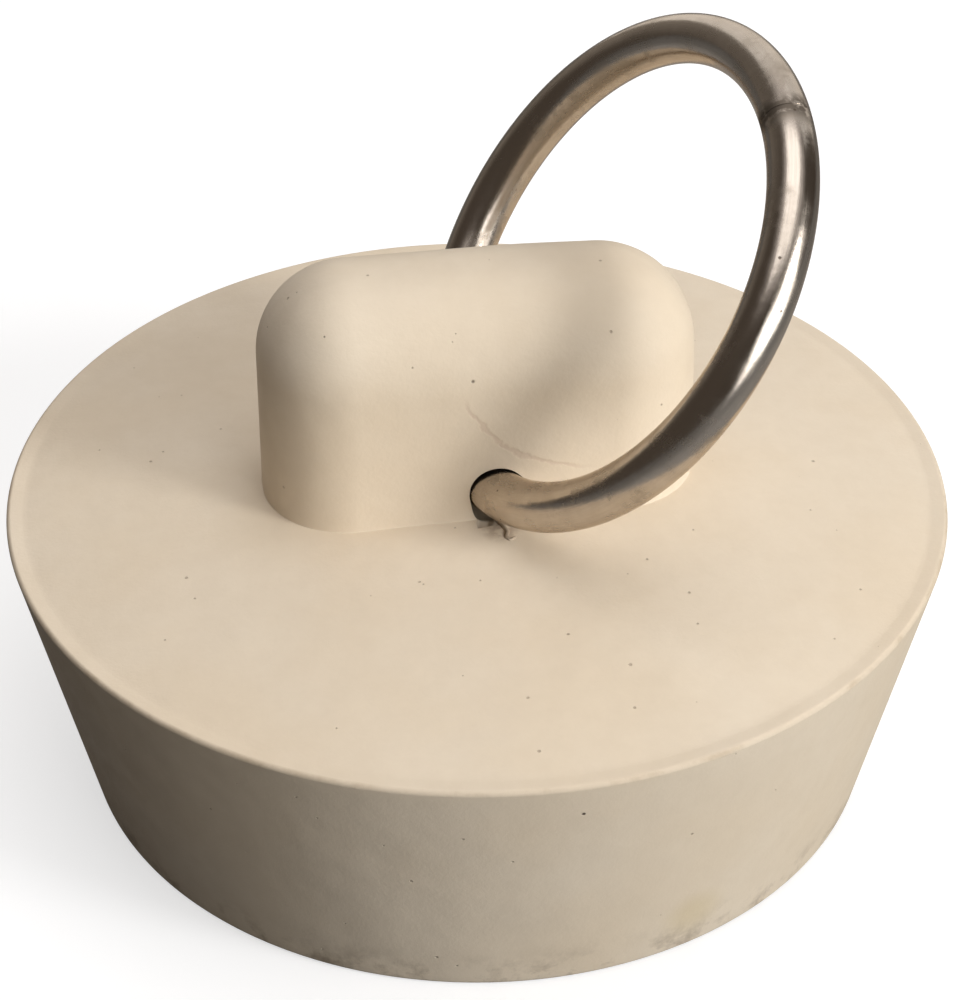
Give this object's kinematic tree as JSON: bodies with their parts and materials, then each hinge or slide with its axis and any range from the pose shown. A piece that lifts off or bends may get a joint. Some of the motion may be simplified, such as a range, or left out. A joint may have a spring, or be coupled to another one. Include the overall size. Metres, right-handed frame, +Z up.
{
  "type": "drain stopper",
  "caption": "Tapered rubber drain stopper with a low domed top, a rounded moulded lug and a loose plated wire pull ring that swings in the lug's bore.",
  "frame": {"origin": "centre of the flat underside of the plug", "axes": "+X along the lug, to the right in the picture; +Y from the front to the back; +Z up along the plug's axis"},
  "size_m": [0.0476, 0.0476, 0.0385],
  "materials": {
    "ivory_rubber": "matt moulded rubber, ivory, with fine pits and slight soiling",
    "plated_wire": "nickel-plated steel wire, bright but slightly dulled"
  },
  "bodies": {
    "plug": {"rubber_plug": "ivory_rubber"},
    "ring": {"pull_ring": "plated_wire"}
  },
  "joints": [
    {"name": "ring_swing", "type": "hinge", "parent": "plug", "child": "ring", "pos_m": [-0.0002, 0, 0.01855], "axis": [-0.121, 0.9854, 0.1201], "range_deg": [-123, 49]}
  ]
}
